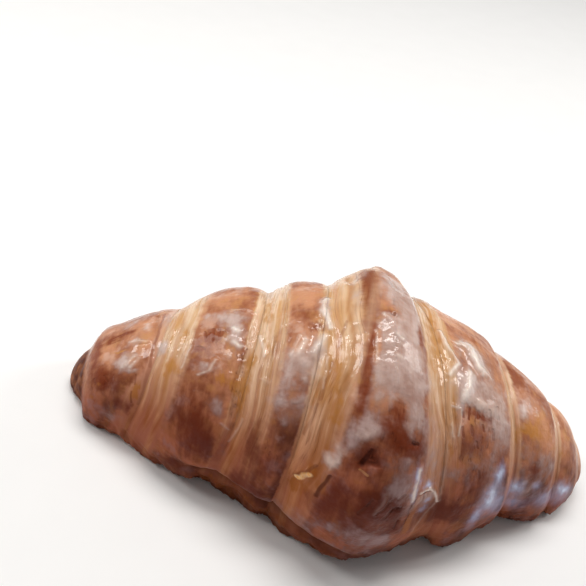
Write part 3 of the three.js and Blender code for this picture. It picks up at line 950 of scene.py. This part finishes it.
shader = paint.nodes["Principled BSDF"]
feed(paint, shader.inputs["Base Color"], surface)
feed(paint, shader.inputs["Roughness"], 0.5 - (glaze_film_and_sheen + wet_in).least(1.0) * 0.2)
shader.inputs["Specular IOR Level"].default_value = 0.06
gloss = wet_in * 0.9 + thick_in * 0.6 + (0.25 + shows_in * 0.4) * painted_top_light + 0.02
gloss = gloss * (1.0 - hole.most(small_holes)) * (1.0 - tip_in * 0.7)
feed(paint, shader.inputs["Coat Weight"], gloss.least(1.0))
shader.inputs["Coat Roughness"].default_value = 0.11
shader.inputs["Coat IOR"].default_value = 1.45
shader.inputs["Subsurface Weight"].default_value = 0.1
shader.inputs["Subsurface Radius"].default_value = (1.0, 0.45, 0.25)
shader.inputs["Subsurface Scale"].default_value = 0.002
crown_grain = mottle * 0.4 + speckle * 0.15 - fleck_in * 0.5 + film_body * 0.3
crown_grain = crown_grain - hole * 1.5 - small_holes - wrinkles
strand_grain = (strand_lines * 0.5 - split * 0.5) * strands_in + mottle * 0.2
pore = shows_in.choose(crown_grain, strand_grain)
bump = paint.nodes.new("ShaderNodeBump")
bump.inputs["Strength"].default_value = 0.7
bump.inputs["Distance"].default_value = 0.35 * MM
feed(paint, bump.inputs["Height"], pore)
paint.links.new(bump.outputs[0], shader.inputs["Normal"])
glaze_bump = paint.nodes.new("ShaderNodeBump")
glaze_bump.inputs["Strength"].default_value = 1.0
glaze_bump.inputs["Distance"].default_value = 0.5 * MM
glaze_grain = thick_in + (sway * 0.3 + speckle * 0.05) * wet_in
glaze_grain = glaze_grain + strand_lines * shows_in * strands_in * 0.25
feed(paint, glaze_bump.inputs["Height"], glaze_grain)
paint.links.new(glaze_bump.outputs[0], shader.inputs["Coat Normal"])

holder = bpy.data.objects.new("croissant_rule", bpy.data.meshes.new("croissant_rule"))
scene.collection.objects.link(holder)
rolled = holder.modifiers.new("roll", "NODES")
rolled.node_group = roll
for item in roll.interface.items_tree:
    if item.in_out == "INPUT":
        if item.name in roll_sizes:
            rolled[item.identifier] = roll_sizes[item.name]
        elif item.name in roll_counts:
            rolled[item.identifier] = roll_counts[item.name]
        else:
            rolled[item.identifier] = crust
graph = bpy.context.evaluated_depsgraph_get()
body_mesh = bpy.data.meshes.new_from_object(holder.evaluated_get(graph))
bpy.data.objects.remove(holder)
body_mesh.name = "croissant_body"

# The roll is moved so that its box lies in the middle of the solid's, on the floor.
low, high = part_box("croissant")
along_places = [vertex.co.x for vertex in body_mesh.vertices]
across_places = [vertex.co.y for vertex in body_mesh.vertices]
shift_x = (low[0] + high[0] - min(along_places) - max(along_places)) / 2
shift_y = (low[1] + high[1] - min(across_places) - max(across_places)) / 2
lowest = min(vertex.co.z for vertex in body_mesh.vertices)
for vertex in body_mesh.vertices:
    vertex.co += Vector((shift_x, shift_y, -lowest))
body = bpy.data.objects.new("croissant_body", body_mesh)
scene.collection.objects.link(body)
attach(body, "root")
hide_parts("croissant")


# The floor: a plain pale board that the croissant lies on, wide enough to fill the picture. Its matt
# paint has a faint grain. It belongs to the stage and not to the object.
floor_mesh = bpy.data.meshes.new("floor")
reach = 6.0
corners = [(-reach, -reach, 0), (reach, -reach, 0), (reach, reach, 0), (-reach, reach, 0)]
floor_mesh.from_pydata(corners, [], [(0, 1, 2, 3)])
floor = bpy.data.objects.new("floor", floor_mesh)
scene.collection.objects.link(floor)
floor_paint = bpy.data.materials.new("floor_paint")
floor_paint.use_nodes = True
floor_tree = floor_paint.node_tree
floor_where = floor_tree.nodes.new("ShaderNodeTexCoord")
floor_grain = noise(Field(floor_tree, floor_where.outputs["Object"]), 60.0, 3.0)
floor_tone = 0.925 + floor_grain * 0.008
floor_shader = floor_tree.nodes["Principled BSDF"]
floor_colour = combine(floor_tree, floor_tone, floor_tone, floor_tone)
feed(floor_tree, floor_shader.inputs["Base Color"], floor_colour)
floor_shader.inputs["Roughness"].default_value = 0.9
floor_mesh.materials.append(floor_paint)


# The light: a wide soft lamp overhead and a little behind, a smaller one on either side, and pale light
# from all round, as in a plain studio.
LAMP_WHITE = (1.0, 0.98, 0.95)
lit_place = Vector((0.0, 0.0, 0.03))


def lamp(name, spot, width, depth, power):
    light = bpy.data.lights.new(name, "AREA")
    light.shape = "ELLIPSE"
    light.size = width
    light.size_y = depth
    light.energy = power
    light.color = LAMP_WHITE
    stand = bpy.data.objects.new(name, light)
    stand.location = spot
    stand.rotation_euler = (lit_place - Vector(spot)).to_track_quat("-Z", "Y").to_euler()
    scene.collection.objects.link(stand)


lamp("overhead", (0.0, 0.14, 0.9), 0.8, 0.18, 5.8)
lamp("left", (-0.72, 0.15, 0.5), 0.25, 0.4, 2.2)
lamp("right", (0.75, 0.25, 0.46), 0.25, 0.4, 2.2)
world = bpy.data.worlds.new("studio")
scene.world = world
world.use_nodes = True
sky = world.node_tree.nodes["Background"]
sky.inputs["Color"].default_value = (1.0, 1.0, 1.0, 1.0)
sky.inputs["Strength"].default_value = 0.24


# The camera: it stands in front of the croissant and a little above it, at the photograph's viewing
# angle, and is turned about its line of sight as the photograph is.
camera = bpy.data.cameras.new("camera")
camera.lens = 53.9
camera.sensor_width = 36.0
camera.clip_start = 0.01
eye = bpy.data.objects.new("camera", camera)
eye.location = (-0.0475, -0.1724, 0.1879)
aim = Vector((-0.0148, 0.04755, 0.028)) - eye.location
eye.rotation_mode = "QUATERNION"
eye.rotation_quaternion = aim.to_track_quat("-Z", "Y") @ Quaternion((0, 0, 1), math.radians(13.64))
scene.collection.objects.link(eye)
scene.camera = eye
scene.view_settings.view_transform = "Standard"
